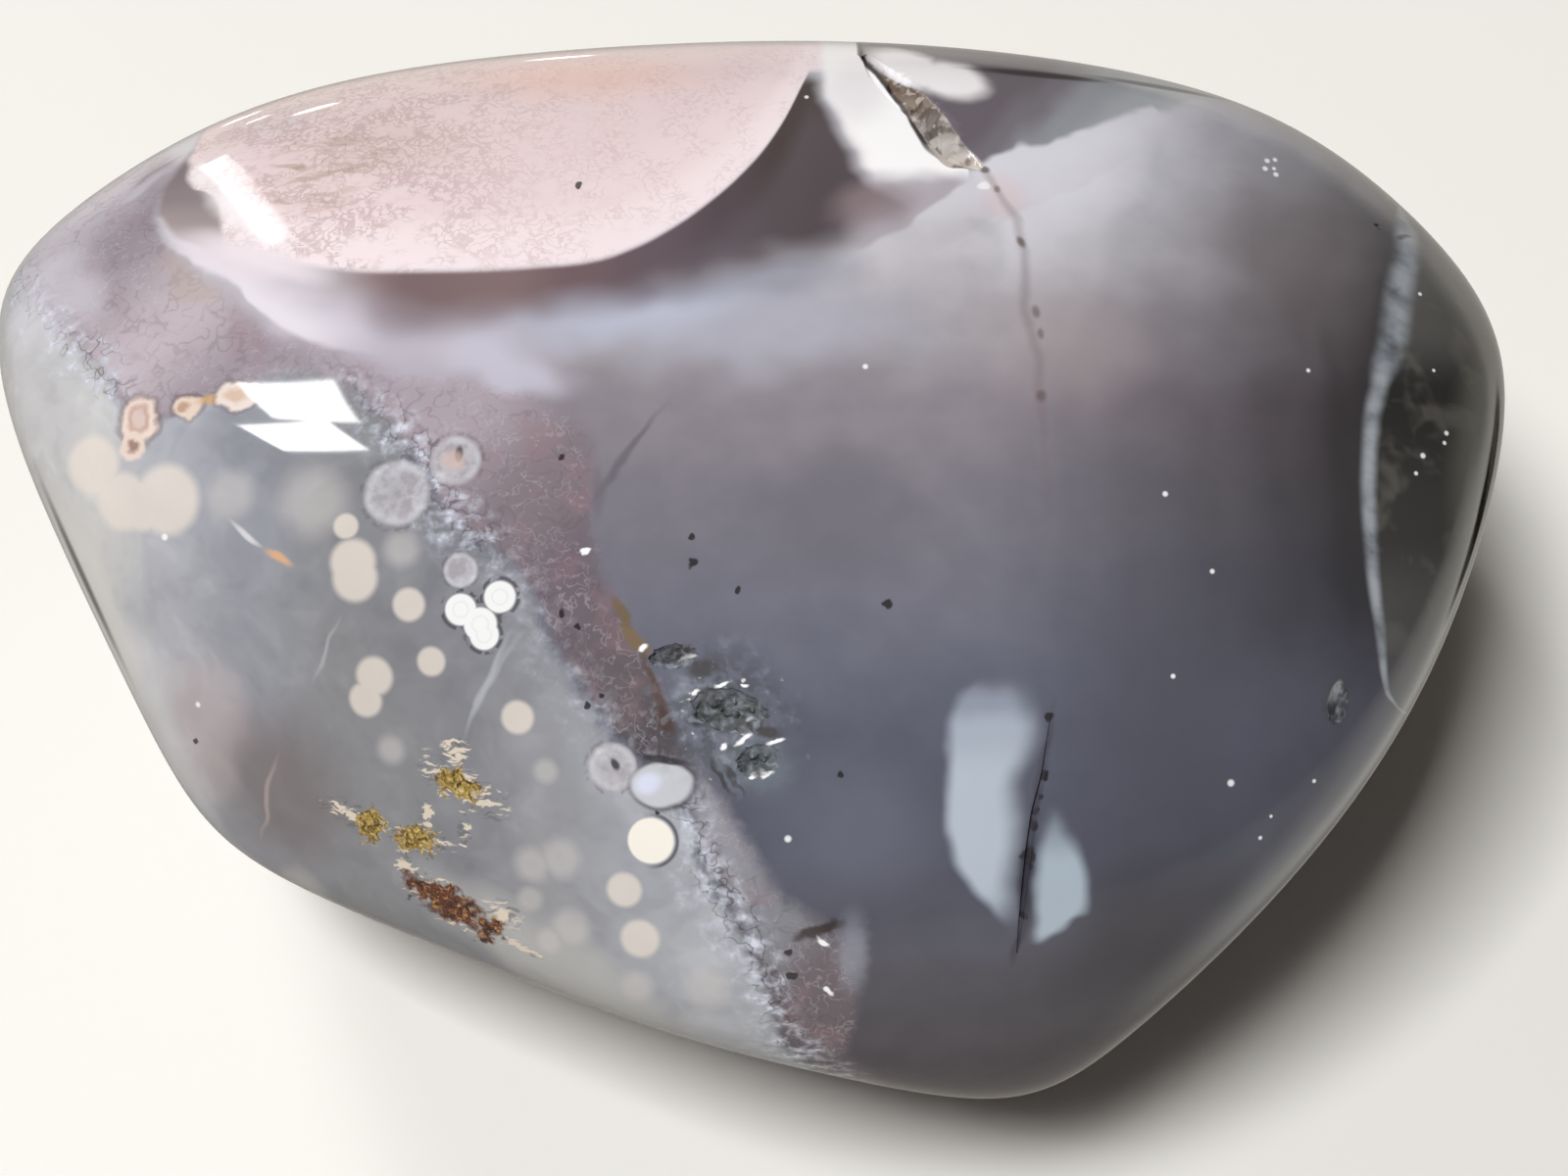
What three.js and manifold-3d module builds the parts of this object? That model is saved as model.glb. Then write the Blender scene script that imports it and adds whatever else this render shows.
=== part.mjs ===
import * as THREE from 'three';
import { mergeVertices } from 'three/addons/utils/BufferGeometryUtils.js';
import Module from 'manifold-3d';

// A tumbled Botswana agate: one pebble of banded chalcedony, worn and polished all over.
// Driving dimensions are in millimetres and degrees.

// The stone lies flat. Its worn faces, cracks and hollows are laid out on its show side, the side
// that looks forward and up, with its middle this far above the horizon.
const SHOW_SIDE_RISE = 52;

// The heart is the point inside the stone that its worn faces are measured from. It stands here
// over the middle of the stone's footprint.
const HEART = [0.13, -0.57, 12.9];

// The body before the faces were worn: half its length, breadth and height as it lies, how full it
// is towards its corners (2 is a plain ellipsoid), how full its underside is, and how far its
// length turns to the back.
const BODY = {
  halfLength: 28.5,
  halfBreadth: 19.2,
  halfHeight: 13.2,
  fullness: 2.5,
  undersideFullness: 4,
  turn: 8,
};

// Tumbling wore the body down to these low faces. Turn goes round the show side, from the right
// towards its top; lean goes out of the show side's plane, towards its front. Reach is how far
// the face lies from the heart.
const WORN_FACES = {
  rightEnd: { turn: 14, lean: 0, reach: 25.8 },
  rightShoulder: { turn: 44, lean: 0, reach: 22.2 },
  topRightRim: { turn: 79, lean: 0, reach: 17.7 },
  topRim: { turn: 94, lean: 0, reach: 17.1 },
  topLeftRim: { turn: 110, lean: 0, reach: 22.5 },
  leftShoulder: { turn: 131, lean: 0, reach: 22.7 },
  leftEnd: { turn: 166, lean: 0, reach: 27.8 },
  lowLeftRim: { turn: 204, lean: 0, reach: 18.1 },
  bottomLeftRim: { turn: 234, lean: 0, reach: 17.9 },
  bottomRim: { turn: 252, lean: 0, reach: 13.0 },
  bottomMiddleRim: { turn: 274, lean: 0, reach: 17.1 },
  lowRightRim: { turn: 317, lean: 0, reach: 17.2 },
  rightLowRim: { turn: 339, lean: 0, reach: 19.3 },
  leftFront: { turn: 215, lean: 50, reach: 17.3 },
};
// How crisply neighbouring faces meet: 2 would be a ball, and 60 a cut gem.
const EDGE_CRISPNESS = 16;
// Rows of small faces along each edge of the twenty-sided ball that the pebble is shaped from.
const SKIN_ROWS = 18;

// The stone rests on a flat that is worn this far into its lowest point.
const RESTING_FLAT_DEPTH = 0.3;

// Places on the show side are [right, up] from the heart. This is the open crack at the top: a
// steep deep wall on the left, and a rough slope that climbs out on the right.
const OPEN_CRACK = {
  line: [[3.35, 15.4], [3.8, 14.7], [4.35, 14.1], [5.0, 13.45], [5.45, 12.7], [5.85, 12.05], [6.65, 11.5]],
  width: 1.05,
  depth: 0.9,
  roughness: 0.3,
};
// A narrow crack parts the two white spots low on the right.
const NARROW_CRACK = {
  line: [[8.0, -3.8], [7.8, -5.4], [7.55, -6.4], [7.4, -7.5], [7.3, -8.5], [7.15, -10.2]],
  width: 0.22,
  depth: 0.4,
  roughness: 0.2,
};
const CRACK_STEPS = 12;
const CRACK_COLUMNS = 4;
// A crack narrows to this share of its length at each end, its floor is nowhere shallower than
// this share of its depth, and its right edge runs out this far above the skin.
const CRACK_TIP_SHARE = 0.02;
const CRACK_LEAST_SLOPE = 0.1;
const CRACK_RIGHT_LIFT = 0.05;

// Open vugs lined with small quartz points, and one shallow chip on the right.
const VUGS = [
  { place: [-1.9, -2.3], length: 1.4, breadth: 0.7, depth: 0.3, turn: 10, points: 4 },
  { place: [-0.45, -3.7], length: 2.1, breadth: 1.3, depth: 0.4, turn: -20, points: 7 },
  { place: [0.3, -5.0], length: 1.2, breadth: 0.9, depth: 0.3, turn: 15, points: 4 },
];
const CHIP = { place: [15.8, -3.6], length: 1.2, breadth: 0.8, depth: 0.2, turn: 80 };
const HOLLOW_LUMPS = 0.3;
// Quartz points: height as a share of the vug's depth, least and added share of size, how far out
// on the vug's floor they stand, and how deep they are rooted below it.
const QUARTZ_POINT = {
  radius: 0.2,
  height: 0.8,
  leastSize: 0.7,
  addedSize: 0.5,
  nearest: 0.25,
  spread: 0.45,
  root: 0.08,
  lean: 35,
};

const wasm = await Module();
wasm.setup();

const rise = THREE.MathUtils.degToRad(SHOW_SIDE_RISE);

// Turns right, up and out on the show side into the stone's standing directions.
function fromShowSide(right, up, out) {
  return new THREE.Vector3(
    right,
    up * Math.sin(rise) - out * Math.cos(rise),
    up * Math.cos(rise) + out * Math.sin(rise),
  );
}

const faces = Object.values(WORN_FACES).map(({ turn, lean, reach }) => {
  const around = THREE.MathUtils.degToRad(turn);
  const outwards = THREE.MathUtils.degToRad(lean);
  const flat = Math.cos(outwards);
  const normal = fromShowSide(Math.cos(around) * flat, Math.sin(around) * flat, Math.sin(outwards));
  return { normal, reach };
});

const bodyTurn = THREE.MathUtils.degToRad(BODY.turn);

// How hard the whole body presses back along a direction: one over its own reach that way.
function bodyPressure({ x, y, z }) {
  const along = x * Math.cos(bodyTurn) + y * Math.sin(bodyTurn);
  const across = y * Math.cos(bodyTurn) - x * Math.sin(bodyTurn);
  const level = Math.abs(along / BODY.halfLength) ** BODY.fullness
    + Math.abs(across / BODY.halfBreadth) ** BODY.fullness;
  const fullness = z < 0 ? BODY.undersideFullness : BODY.fullness;
  const sum = level ** (fullness / BODY.fullness) + Math.abs(z / BODY.halfHeight) ** fullness;
  return sum ** (1 / fullness);
}

// Distance from the heart to the skin. The body and every face push back at their own reach, and
// the power rounds the edges where two of them meet.
function skinDistance(direction) {
  let pressure = bodyPressure(direction) ** EDGE_CRISPNESS;
  for (const { normal, reach } of faces) {
    pressure += Math.max(0, normal.dot(direction) / reach) ** EDGE_CRISPNESS;
  }
  return pressure ** (-1 / EDGE_CRISPNESS);
}

// The point of the skin that lies over a place on the show side, found by halving.
function skinOver([right, up]) {
  let inside = 0;
  let outside = 40;
  for (let step = 0; step < 40; step += 1) {
    const middle = (inside + outside) / 2;
    const point = fromShowSide(right, up, middle);
    const distance = point.length();
    if (skinDistance(point.clone().divideScalar(distance)) > distance) inside = middle;
    else outside = middle;
  }
  return fromShowSide(right, up, inside);
}

// Seeded scatter from 0 to 1, so that the stone comes out the same each time.
let scatterSeed = 7;
function scatter() {
  scatterSeed = (scatterSeed * 16807) % 2147483647;
  return scatterSeed / 2147483647;
}

function toSolid(geometry) {
  geometry.deleteAttribute('normal');
  geometry.deleteAttribute('uv');
  const merged = mergeVertices(geometry, 1e-5);
  return new wasm.Manifold(new wasm.Mesh({
    numProp: 3,
    vertProperties: new Float32Array(merged.attributes.position.array),
    triVerts: new Uint32Array(merged.index.array),
  }));
}

// The whole skin: a ball whose points are pushed out to the worn faces.
function pebble() {
  const geometry = new THREE.IcosahedronGeometry(1, SKIN_ROWS);
  const position = geometry.attributes.position;
  const point = new THREE.Vector3();
  for (let i = 0; i < position.count; i += 1) {
    point.fromBufferAttribute(position, i).normalize();
    point.multiplyScalar(skinDistance(point));
    position.setXYZ(i, point.x, point.y, point.z);
  }
  return toSolid(geometry);
}

// A slab that takes off the lowest part of the skin and leaves the resting flat.
function restingSlab() {
  const lowest = skinDistance(new THREE.Vector3(0, 0, -1));
  const size = 60;
  const slab = new THREE.BoxGeometry(size, size, size);
  slab.translate(0, 0, RESTING_FLAT_DEPTH - lowest - size / 2);
  return toSolid(slab);
}

// What a crack took away: a bar bent along the crack, deepest at its left wall. Its floor climbs
// to the skin on the right, in rough steps.
function crackSpace({ line, width, depth, roughness }) {
  const path = new THREE.CatmullRomCurve3(line.map(([right, up]) => new THREE.Vector3(right, up, 0)));
  const bar = new THREE.BoxGeometry(1, 1, 1, CRACK_COLUMNS, CRACK_STEPS, 1);
  const position = bar.attributes.position;
  const floors = new Map();
  for (let i = 0; i < position.count; i += 1) {
    const across = position.getX(i) + 0.5;
    const along = position.getY(i) + 0.5;
    const inner = Math.min(Math.max(along, CRACK_TIP_SHARE), 1 - CRACK_TIP_SHARE);
    const opening = Math.sqrt(Math.sin(Math.PI * inner));
    const centre = path.getPointAt(along);
    const tangent = path.getTangentAt(along);
    const shift = (0.5 - across) * width * opening;
    const skin = skinOver([centre.x - tangent.y * shift, centre.y + tangent.x * shift]);
    const key = `${across.toFixed(3)} ${along.toFixed(3)}`;
    if (!floors.has(key)) {
      const slope = Math.max(across + roughness * (scatter() - 0.5), CRACK_LEAST_SLOPE);
      floors.set(key, across === 0 ? CRACK_RIGHT_LIFT : -depth * opening * slope);
    }
    const lift = position.getZ(i) > 0 ? depth : floors.get(key);
    skin.multiplyScalar(1 + lift / skin.length());
    position.setXYZ(i, skin.x, skin.y, skin.z);
  }
  return toSolid(bar);
}

// Local axes of a hollow: its length and breadth lie in the skin, and its third axis points out.
function hollowAxes(place, turn) {
  const skin = skinOver(place);
  const out = skin.clone().normalize();
  const length = fromShowSide(1, 0, 0).projectOnPlane(out).normalize();
  length.applyAxisAngle(out, THREE.MathUtils.degToRad(turn));
  const breadth = new THREE.Vector3().crossVectors(out, length);
  return new THREE.Matrix4().makeBasis(length, breadth, out).setPosition(skin);
}

// The space of one vug or chip: a lumpy bowl, open at the skin.
function hollowSpace({ place, length, breadth, depth, turn }) {
  const bowl = new THREE.IcosahedronGeometry(1, 2);
  const position = bowl.attributes.position;
  const lumps = new Map();
  for (let i = 0; i < position.count; i += 1) {
    const key = [position.getX(i), position.getY(i), position.getZ(i)].map((n) => n.toFixed(3)).join();
    if (!lumps.has(key)) lumps.set(key, 1 + HOLLOW_LUMPS * (scatter() - 0.5));
    const lump = lumps.get(key);
    position.setXYZ(i, position.getX(i) * lump, position.getY(i) * lump, position.getZ(i) * lump);
  }
  bowl.scale(length / 2, breadth / 2, depth);
  bowl.applyMatrix4(hollowAxes(place, turn));
  return toSolid(bowl);
}

// Six-sided quartz points that stand on the vug's floor and end below the skin.
function quartzPoints({ place, length, breadth, depth, turn, points }) {
  const axes = hollowAxes(place, turn);
  const made = [];
  for (let i = 0; i < points; i += 1) {
    const around = (i / points) * 2 * Math.PI + scatter();
    const away = QUARTZ_POINT.nearest + QUARTZ_POINT.spread * scatter();
    const size = QUARTZ_POINT.leastSize + QUARTZ_POINT.addedSize * scatter();
    const height = QUARTZ_POINT.height * size * depth;
    const point = new THREE.CylinderGeometry(0.01, QUARTZ_POINT.radius * size, height, 6);
    point.translate(0, height / 2, 0);
    point.rotateX(Math.PI / 2);
    point.rotateY(THREE.MathUtils.degToRad(QUARTZ_POINT.lean * (scatter() - 0.5)));
    point.rotateX(THREE.MathUtils.degToRad(QUARTZ_POINT.lean * (scatter() - 0.5)));
    const floor = -depth * Math.sqrt(1 - away * away) - QUARTZ_POINT.root;
    const ahead = (Math.cos(around) * away * length) / 2;
    const aside = (Math.sin(around) * away * breadth) / 2;
    point.translate(ahead, aside, floor);
    point.applyMatrix4(axes);
    made.push(toSolid(point));
  }
  return made;
}

let stone = pebble().subtract(restingSlab());
stone = stone.subtract(crackSpace(OPEN_CRACK));
stone = stone.subtract(crackSpace(NARROW_CRACK));
for (const hollow of [...VUGS, CHIP]) {
  stone = stone.subtract(hollowSpace(hollow));
}
for (const vug of VUGS) {
  for (const point of quartzPoints(vug)) stone = stone.add(point);
}

const shaped = stone.getMesh();
const agateGeometry = new THREE.BufferGeometry();
agateGeometry.setAttribute('position', new THREE.BufferAttribute(new Float32Array(shaped.vertProperties), 3));
agateGeometry.setIndex(new THREE.BufferAttribute(new Uint32Array(shaped.triVerts), 1));
agateGeometry.computeVertexNormals();

const polishedChalcedony = new THREE.MeshStandardMaterial({
  color: 0x8d8a92,
  roughness: 0.12,
  metalness: 0,
});
const agatePebble = new THREE.Mesh(agateGeometry, polishedChalcedony);
agatePebble.name = 'agate_pebble';
agatePebble.position.set(...HEART);

const agate = new THREE.Group();
agate.add(agatePebble);

export default agate;
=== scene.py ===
import functools
import math
import random

import bpy
from mathutils import Euler, Matrix, Vector


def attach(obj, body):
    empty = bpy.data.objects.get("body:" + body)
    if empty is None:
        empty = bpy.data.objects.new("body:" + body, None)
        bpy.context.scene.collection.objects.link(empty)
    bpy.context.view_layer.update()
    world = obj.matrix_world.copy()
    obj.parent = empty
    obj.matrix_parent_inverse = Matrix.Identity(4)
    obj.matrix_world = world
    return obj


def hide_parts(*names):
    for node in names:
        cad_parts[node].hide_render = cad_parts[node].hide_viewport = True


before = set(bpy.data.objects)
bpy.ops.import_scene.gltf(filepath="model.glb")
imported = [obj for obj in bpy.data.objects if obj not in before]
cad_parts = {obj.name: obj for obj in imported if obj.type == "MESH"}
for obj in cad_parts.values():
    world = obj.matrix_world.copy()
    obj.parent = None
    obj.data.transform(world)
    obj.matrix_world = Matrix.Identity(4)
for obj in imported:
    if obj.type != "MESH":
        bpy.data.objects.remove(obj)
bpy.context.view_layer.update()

# The skin of the stone. One tumbled agate, worn to low round faces and polished all over. It is a
# ball whose points are pushed out to the worn faces, with the flat that it rests on cut across.
MM = 0.001
SHOW_SIDE_RISE = math.radians(52)
HEART = Vector((0.13, -0.57, 12.9))
BODY_HALF_LENGTH = 28.5
BODY_HALF_BREADTH = 19.2
BODY_HALF_HEIGHT = 13.2
BODY_FULLNESS = 2.5
UNDERSIDE_FULLNESS = 4
BODY_TURN = math.radians(8)
EDGE_CRISPNESS = 16
SKIN_SLACK = 0.035  # mm that the finer skin stays inside the measured one
WORN_FACES = {  # turn round the show side and lean out of it, in degrees, and reach in mm
    "right end": (14, 0, 25.8),
    "right shoulder": (44, 0, 22.2),
    "top right rim": (79, 0, 17.7),
    "top rim": (94, 0, 17.1),
    "top left rim": (110, 0, 22.5),
    "left shoulder": (131, 0, 22.7),
    "left end": (166, 0, 27.8),
    "low left rim": (204, 0, 18.1),
    "bottom left rim": (234, 0, 17.9),
    "bottom rim": (252, 0, 13.0),
    "bottom middle rim": (274, 0, 17.1),
    "low right rim": (317, 0, 17.2),
    "right low rim": (339, 0, 19.3),
    "left front": (215, 50, 17.3),
}


def from_show_side(right, up, out):
    """Right, up and out on the stone's show side, as a standing direction or step."""
    return Vector((
        right,
        up * math.sin(SHOW_SIDE_RISE) - out * math.cos(SHOW_SIDE_RISE),
        up * math.cos(SHOW_SIDE_RISE) + out * math.sin(SHOW_SIDE_RISE),
    ))


def face_normal(turn, lean):
    turn, lean = math.radians(turn), math.radians(lean)
    return from_show_side(
        math.cos(turn) * math.cos(lean), math.sin(turn) * math.cos(lean), math.sin(lean)
    )


worn_faces = [(face_normal(turn, lean), reach) for turn, lean, reach in WORN_FACES.values()]


def skin_distance(direction):
    """How far the skin lies from the heart that way, in mm."""
    along = direction.x * math.cos(BODY_TURN) + direction.y * math.sin(BODY_TURN)
    across = direction.y * math.cos(BODY_TURN) - direction.x * math.sin(BODY_TURN)
    level = (
        abs(along / BODY_HALF_LENGTH) ** BODY_FULLNESS
        + abs(across / BODY_HALF_BREADTH) ** BODY_FULLNESS
    )
    fullness = UNDERSIDE_FULLNESS if direction.z < 0 else BODY_FULLNESS
    height = abs(direction.z / BODY_HALF_HEIGHT) ** fullness
    body = (level ** (fullness / BODY_FULLNESS) + height) ** (1 / fullness)
    pressure = body ** EDGE_CRISPNESS
    for normal, reach in worn_faces:
        facing = normal.dot(direction)
        if facing > 0:
            pressure += (facing / reach) ** EDGE_CRISPNESS
    return pressure ** (-1 / EDGE_CRISPNESS) - SKIN_SLACK


bpy.ops.object.select_all(action="DESELECT")
bpy.ops.mesh.primitive_ico_sphere_add(subdivisions=7, radius=1)
pebble = bpy.context.object
pebble.name = "polished_pebble"
for vertex in pebble.data.vertices:
    direction = vertex.co.normalized()
    vertex.co = (HEART + direction * skin_distance(direction)) * MM
bpy.ops.object.mode_set(mode="EDIT")
bpy.ops.mesh.select_all(action="SELECT")
bpy.ops.mesh.bisect(
    plane_co=(0, 0, 0), plane_no=(0, 0, 1), use_fill=True, clear_inner=True, threshold=1e-7
)
bpy.ops.object.mode_set(mode="OBJECT")


# The camera looks down on the show side. Places on the stone are given in the picture, in
# pixels of 1600 by 1200, and carried along the line of sight to the skin.
PICTURE_WIDTH = 48.0  # mm across the picture, at the depth of the heart
PICTURE_PIXELS = 1600
PICTURE_MIDDLE = (800, 600)
HEART_PIXEL = (768, 583)
LENS = 85
SENSOR = 36
MM_PER_PIXEL = PICTURE_WIDTH / PICTURE_PIXELS
EYE_DISTANCE = PICTURE_WIDTH * LENS / SENSOR
eye = Vector((
    (PICTURE_MIDDLE[0] - HEART_PIXEL[0]) * MM_PER_PIXEL,
    (HEART_PIXEL[1] - PICTURE_MIDDLE[1]) * MM_PER_PIXEL,
    EYE_DISTANCE,
))

bpy.ops.object.camera_add()
camera = bpy.context.object
camera.name = "camera"
camera.data.lens = LENS
camera.data.sensor_width = SENSOR
camera.data.clip_start = 0.01
camera.location = (HEART + from_show_side(*eye)) * MM
camera.rotation_euler = Euler((math.pi / 2 - SHOW_SIDE_RISE, 0, 0))
bpy.context.scene.camera = camera


@functools.cache
def seen(x, y):
    """The place on the skin that shows at a pixel, as right, up and out from the heart in mm."""
    target = Vector(((x - HEART_PIXEL[0]) * MM_PER_PIXEL, (HEART_PIXEL[1] - y) * MM_PER_PIXEL, 0))
    near, far = 0.75, 1.0
    for _ in range(30):
        middle = (near + far) / 2
        place = eye.lerp(target, middle)
        if place.length > skin_distance(from_show_side(*place).normalized()):
            near = middle
        else:
            far = middle
    return eye.lerp(target, far)


# The cracks and hollows. The open crack at the top has a steep left wall and a rough floor that
# climbs to the right; a hair-thin crack parts the white spots; three vugs hold quartz points.
CRACK_STEPS = 40
CRACK_COLUMNS = 8
OPEN_CRACK = [
    (3.35, 15.4), (3.8, 14.7), (4.35, 14.1), (5.0, 13.45), (5.45, 12.7), (5.85, 12.05), (6.65, 11.5),
]
NARROW_CRACK = [(8.0, -3.8), (7.8, -5.4), (7.55, -6.4), (7.4, -7.5), (7.3, -8.5), (7.15, -10.2)]
VUGS = [  # place on the show side, length, breadth, depth in mm, turn in degrees, quartz points
    ((-1.9, -2.3), 1.4, 0.7, 0.3, 10, 4),
    ((-0.45, -3.7), 2.1, 1.3, 0.4, -20, 7),
    ((0.3, -5.0), 1.2, 0.9, 0.3, 15, 4),
]
CHIP = ((15.8, -3.6), 1.2, 0.8, 0.2, 80, 0)
QUARTZ_POINT_RADIUS = 0.2
QUARTZ_POINT_HEIGHT = 0.8
scatter = random.Random(7)


def skin_over(right, up):
    """The skin over a place on the show side, as a standing step from the heart in mm."""
    inside, outside = 0.0, 40.0
    for _ in range(40):
        middle = (inside + outside) / 2
        step = from_show_side(right, up, middle)
        if skin_distance(step.normalized()) > step.length:
            inside = middle
        else:
            outside = middle
    return from_show_side(right, up, inside)


def along_line(line, share):
    """The point at that share of a line of places, and the line's direction there."""
    spans = [(Vector(b) - Vector(a)).length for a, b in zip(line, line[1:])]
    left = share * sum(spans)
    for (a, b), span in zip(zip(line, line[1:]), spans):
        if left <= span:
            break
        left -= span
    a, b = Vector(a), Vector(b)
    return a.lerp(b, min(left / span, 1)), (b - a).normalized()


def crack_space(name, line, width, depth, roughness):
    """A bar bent along the crack, whose floor is deepest at the left wall."""
    bpy.ops.object.select_all(action="DESELECT")
    bpy.ops.mesh.primitive_grid_add(
        x_subdivisions=CRACK_COLUMNS, y_subdivisions=CRACK_STEPS, size=1, location=(0.5, 0.5, 0)
    )
    bpy.ops.object.transform_apply(location=True)
    bar = bpy.context.object
    bar.name = name
    bpy.ops.object.mode_set(mode="EDIT")
    bpy.ops.mesh.select_all(action="SELECT")
    bpy.ops.mesh.extrude_region_move(TRANSFORM_OT_translate={"value": (0, 0, 1)})
    bpy.ops.mesh.select_all(action="SELECT")
    bpy.ops.mesh.normals_make_consistent(inside=False)
    bpy.ops.object.mode_set(mode="OBJECT")
    for vertex in bar.data.vertices:
        across, along, top = vertex.co
        opening = math.sqrt(math.sin(math.pi * min(max(along, 0.02), 0.98)))
        centre, direction = along_line(line, along)
        shift = (0.5 - across) * width * opening
        place = centre + Vector((-direction.y, direction.x)) * shift
        slope = max(across + roughness * (scatter.random() - 0.5), 0.1)
        lift = depth if top > 0.5 else 0.05 if across < 0.01 else -depth * opening * slope
        skin = skin_over(*place)
        vertex.co = (HEART + skin * (1 + lift / skin.length)) * MM
    return bar


def hollow_axes(place, turn):
    """Length and breadth in the skin and out of it, at a hollow, as a matrix in mm."""
    skin = skin_over(*place)
    out = skin.normalized()
    length = Vector((1, 0, 0)) - out * out.x
    length = Matrix.Rotation(math.radians(turn), 3, out) @ length.normalized()
    axes = Matrix((length, out.cross(length), out)).transposed().to_4x4()
    axes.translation = HEART + skin
    return axes


def hollow_space(name, place, length, breadth, depth, turn):
    """A lumpy bowl, open at the skin."""
    bpy.ops.object.select_all(action="DESELECT")
    bpy.ops.mesh.primitive_ico_sphere_add(subdivisions=4, radius=1)
    bowl = bpy.context.object
    bowl.name = name
    axes = hollow_axes(place, turn)
    for vertex in bowl.data.vertices:
        lump = 0.92 + 0.16 * scatter.random()
        x, y, z = vertex.co * lump
        vertex.co = (axes @ Vector((x * length / 2, y * breadth / 2, z * depth))) * MM
    return bowl


def quartz_point(place, length, breadth, depth, turn, around, away):
    """A six-sided quartz point that stands on a vug's floor and ends below the skin."""
    size = 0.7 + 0.5 * scatter.random()
    height = QUARTZ_POINT_HEIGHT * size * depth
    bpy.ops.object.select_all(action="DESELECT")
    bpy.ops.mesh.primitive_cone_add(
        vertices=6, radius1=QUARTZ_POINT_RADIUS * size, radius2=0.01, depth=height
    )
    point = bpy.context.object
    tilt = Euler((
        math.radians(35) * (scatter.random() - 0.5),
        math.radians(35) * (scatter.random() - 0.5),
        scatter.random() * math.pi,
    )).to_matrix().to_4x4()
    floor = -depth * math.sqrt(1 - away * away) - 0.08
    stand = Matrix.Translation((
        math.cos(around) * away * length / 2,
        math.sin(around) * away * breadth / 2,
        floor + height / 2,
    ))
    point.data.transform(Matrix.Scale(MM, 4) @ hollow_axes(place, turn) @ stand @ tilt)
    return point


def join(pieces, name):
    bpy.ops.object.select_all(action="DESELECT")
    for piece in pieces:
        piece.select_set(True)
    bpy.context.view_layer.objects.active = pieces[0]
    if len(pieces) > 1:
        bpy.ops.object.join()
    pieces[0].name = name
    return pieces[0]


def cut_or_fuse(operation, other):
    """Cuts the other piece out of the pebble, or fuses it on, and removes it."""
    bpy.ops.object.select_all(action="DESELECT")
    bpy.context.view_layer.objects.active = pebble
    pebble.select_set(True)
    boolean = pebble.modifiers.new(other.name, "BOOLEAN")
    boolean.operation = operation
    boolean.object = other
    boolean.solver = "MANIFOLD"
    bpy.ops.object.modifier_apply(modifier=boolean.name)
    bpy.data.objects.remove(other)


first_cuts = [
    crack_space("open_crack", OPEN_CRACK, 1.05, 0.9, 0.3),
    crack_space("narrow_crack", NARROW_CRACK, 0.22, 0.4, 0.2),
    hollow_space("chip", *CHIP[:5]),
    hollow_space("middle_vug", *VUGS[1][:5]),
]
cut_or_fuse("DIFFERENCE", join(first_cuts, "first_cuts"))
second_cuts = [hollow_space("upper_vug", *VUGS[0][:5]), hollow_space("lower_vug", *VUGS[2][:5])]
cut_or_fuse("DIFFERENCE", join(second_cuts, "second_cuts"))
points = []
for *vug, count in VUGS:
    for number in range(count):
        around = number / count * 2 * math.pi + scatter.random()
        points.append(quartz_point(*vug, around, 0.25 + 0.45 * scatter.random()))
cut_or_fuse("UNION", join(points, "quartz_points"))

below_skin = pebble.data.attributes.new("below_skin", "FLOAT", "POINT")
for vertex, depth in zip(pebble.data.vertices, below_skin.data):
    step = vertex.co / MM - HEART
    under = skin_distance(step.normalized()) - step.length
    depth.value = under if under > 0.01 and vertex.co.z > 0.5 * MM else 0.0

bpy.ops.object.select_all(action="DESELECT")
bpy.context.view_layer.objects.active = pebble
pebble.select_set(True)
bpy.ops.object.shade_smooth_by_angle(angle=math.radians(35))


# The chalcedony. One material holds every tone of the stone, each a soft form in the stone's own
# depth. Distances are in mm from the heart: right, up and out on the show side.
chalcedony = bpy.data.materials.new("polished_chalcedony")
chalcedony.use_nodes = True
tree = chalcedony.node_tree
tree.nodes.clear()


def tone(red, green, blue):
    """A colour from its 0 to 255 screen values; more than 255 is brighter than white."""
    def linear(value):
        value /= 255
        return value / 12.92 if value <= 0.04045 else ((value + 0.055) / 1.055) ** 2.4
    return (linear(red), linear(green), linear(blue), 1)


def plug(socket, value):
    if isinstance(value, bpy.types.NodeSocket):
        tree.links.new(value, socket)
    else:
        socket.default_value = value


def add(kind, inputs, output=0, **settings):
    """A node with these settings and inputs; returns one of its outputs."""
    made = tree.nodes.new("ShaderNode" + kind)
    for name, value in settings.items():
        setattr(made, name, value)
    for name, value in inputs.items():
        plug(made.inputs[name], value)
    return made.outputs[output]


def count(operation, first, second=0.0):
    return add("Math", {0: first, 1: second}, operation=operation)


def off(first, second):
    """How far apart two values are, whichever is larger."""
    return count("ABSOLUTE", count("SUBTRACT", first, second))


def step_by(operation, first, second, output=0):
    return add("VectorMath", {0: first, 1: second}, output, operation=operation)


def fade(value, start, end, most=1.0):
    """0 before start, most after end, smooth between; start may lie above end."""
    inputs = {"Value": value, "From Min": start, "From Max": end, "To Max": most}
    return add("MapRange", inputs, interpolation_type="SMOOTHSTEP", clamp=False)


def all_of(*values):
    result = values[0]
    for value in values[1:]:
        result = count("MULTIPLY", result, value)
    return result


def any_of(*values):
    result = values[0]
    for value in values[1:]:
        result = count("MAXIMUM", result, value)
    return result


def over(below, above, cover, blend="MIX"):
    """One tone laid over another."""
    return add("Mix", {0: cover, 6: below, 7: above}, 2, data_type="RGBA", blend_type=blend)


def cloud(vector, scale, detail=2.0, roughness=0.5, output=0):
    inputs = {"Vector": vector, "Scale": scale, "Detail": detail, "Roughness": roughness}
    return add("TexNoise", inputs, output)


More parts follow.
